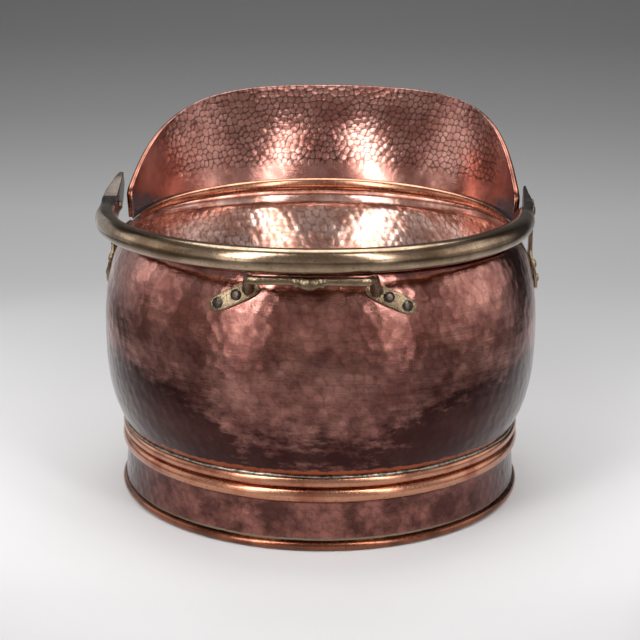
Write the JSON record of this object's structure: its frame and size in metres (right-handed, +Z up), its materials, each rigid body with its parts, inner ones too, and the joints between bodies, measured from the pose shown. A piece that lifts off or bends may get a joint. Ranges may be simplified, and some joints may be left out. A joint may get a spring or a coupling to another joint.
{
  "type": "coal scuttle",
  "caption": "Round hammered copper helmet coal scuttle with a tall flared pouring lip, a swinging tube bail, a riveted tipping handle and a wired foot.",
  "frame": {"origin": "on the floor under the middle of the object's bounding box, which is the drum's own axis", "axes": "+Z up, +Y towards the pouring lip, -Y towards the tipping handle and the lowered bail, +X to the right as seen from the handle"},
  "size_m": [0.3652, 0.4426, 0.3176],
  "materials": {
    "dark_copper": "hammered copper with a dark patina",
    "bright_copper": "rubbed copper mouldings and wired edges",
    "pink_copper": "hammered copper, cleaner inside",
    "aged_brass": "aged brass, polished where it is handled"
  },
  "bodies": {
    "scuttle": {"body_shell": "dark_copper", "bottom_plate": "pink_copper", "foot_skirt": "dark_copper", "foot_moulding": "bright_copper", "foot_wire": "bright_copper", "mouth_wire": "bright_copper", "lip_sheet": "pink_copper", "lip_edge_wire": "bright_copper", "seam_moulding": "bright_copper", "rear_handle": "aged_brass", "pivot_pin_left": "aged_brass", "pivot_pin_right": "aged_brass", "ear_left": "aged_brass", "ear_right": "aged_brass", "ear_left_rivet_1": "aged_brass", "ear_left_rivet_2": "aged_brass", "ear_right_rivet_1": "aged_brass", "ear_right_rivet_2": "aged_brass", "ear_left_burr_1": "pink_copper", "ear_left_burr_2": "pink_copper", "ear_right_burr_1": "pink_copper", "ear_right_burr_2": "pink_copper", "handle_left_rivet_1": "aged_brass", "handle_left_rivet_2": "aged_brass", "handle_right_rivet_1": "aged_brass", "handle_right_rivet_2": "aged_brass", "handle_left_burr_1": "pink_copper", "handle_left_burr_2": "pink_copper", "handle_right_burr_1": "pink_copper", "handle_right_burr_2": "pink_copper"},
    "bail": {"bail_tube": "aged_brass", "bail_leaf_left": "aged_brass", "bail_leaf_right": "aged_brass"}
  },
  "joints": [
    {"name": "bail_hinge", "type": "hinge", "parent": "scuttle", "child": "bail", "pos_m": [0, 0, 0.2315], "axis": [-1, 0, 0], "range_deg": [0, 95]}
  ]
}
